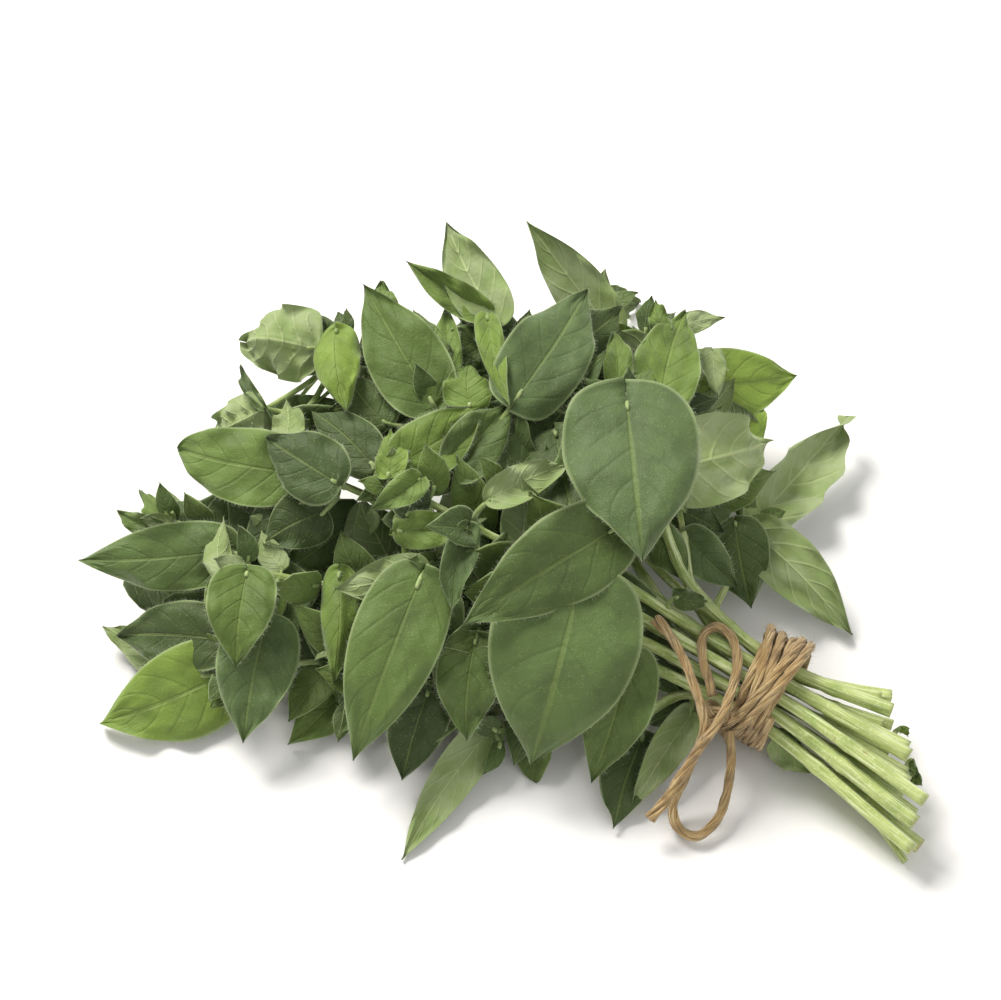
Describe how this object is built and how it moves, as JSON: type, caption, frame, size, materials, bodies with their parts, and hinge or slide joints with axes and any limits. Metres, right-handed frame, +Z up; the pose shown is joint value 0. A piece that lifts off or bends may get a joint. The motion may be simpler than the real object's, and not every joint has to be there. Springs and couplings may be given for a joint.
{
  "type": "oregano bundle",
  "caption": "Bunch of fresh oregano sprigs with downy oval leaves, lying on its side and tied with rough jute twine near the cut stems.",
  "frame": {"origin": "on the surface that the bundle lies on, under the middle of its outline without the loose twine", "axes": "+X towards the cut ends' side along the longest extent, +Y towards the back of the heap of leaves, +Z up away from the surface"},
  "size_m": [0.166, 0.1469, 0.0545],
  "materials": {
    "leaf": "matt, downy",
    "stem": "satin, fresh",
    "twine": "matt, hairy"
  },
  "bodies": {
    "root": {"stem_front_low": "stem", "stem_left_low": "stem", "stem_right_low": "stem", "stem_front_short": "stem", "stem_left_front": "stem", "stem_back_middle": "stem", "stem_back_right": "stem", "stem_left_middle": "stem", "stem_left_far": "stem", "stem_back_left": "stem", "stem_right_middle": "stem", "stem_back_far": "stem", "stem_front_middle": "stem", "stem_left_top": "stem", "stem_middle_back": "stem", "stem_top_back": "stem", "stem_top_left": "stem", "stem_top_middle": "stem", "stem_top_right": "stem", "leaf_top_heart": "leaf", "leaf_top_blue": "leaf", "leaf_top_under_blue": "leaf", "leaf_top_ribbed": "leaf", "leaf_front_broad": "leaf", "leaf_front_right": "leaf", "leaf_front_left": "leaf", "leaf_front_pale": "leaf", "leaf_front_dark": "leaf", "leaf_front_long": "leaf", "leaf_left_folded": "leaf", "leaf_top_rosette": "leaf", "leaf_top_hairy": "leaf", "leaf_back_tall": "leaf", "leaf_left_bright": "leaf", "leaf_left_veined": "leaf", "leaf_left_round": "leaf", "leaf_left_grey": "leaf", "leaf_left_wide": "leaf", "leaf_back_spear": "leaf", "leaf_back_fold": "leaf", "leaf_back_right_spear": "leaf", "leaf_back_floor": "leaf", "leaf_back_broad": "leaf", "leaf_right_bright": "leaf", "leaf_right_pale": "leaf", "leaf_right_spear": "leaf", "leaf_right_droop": "leaf", "leaf_left_broad": "leaf", "leaf_left_drop": "leaf", "leaf_left_pair": "leaf", "leaf_left_tongue": "leaf", "leaf_left_shaded": "leaf", "leaf_front_twine": "leaf", "twine_wrap": "twine", "twine_cross": "twine", "twine_knot": "twine", "twine_upper": "twine", "twine_lower": "twine"}
  },
  "joints": []
}
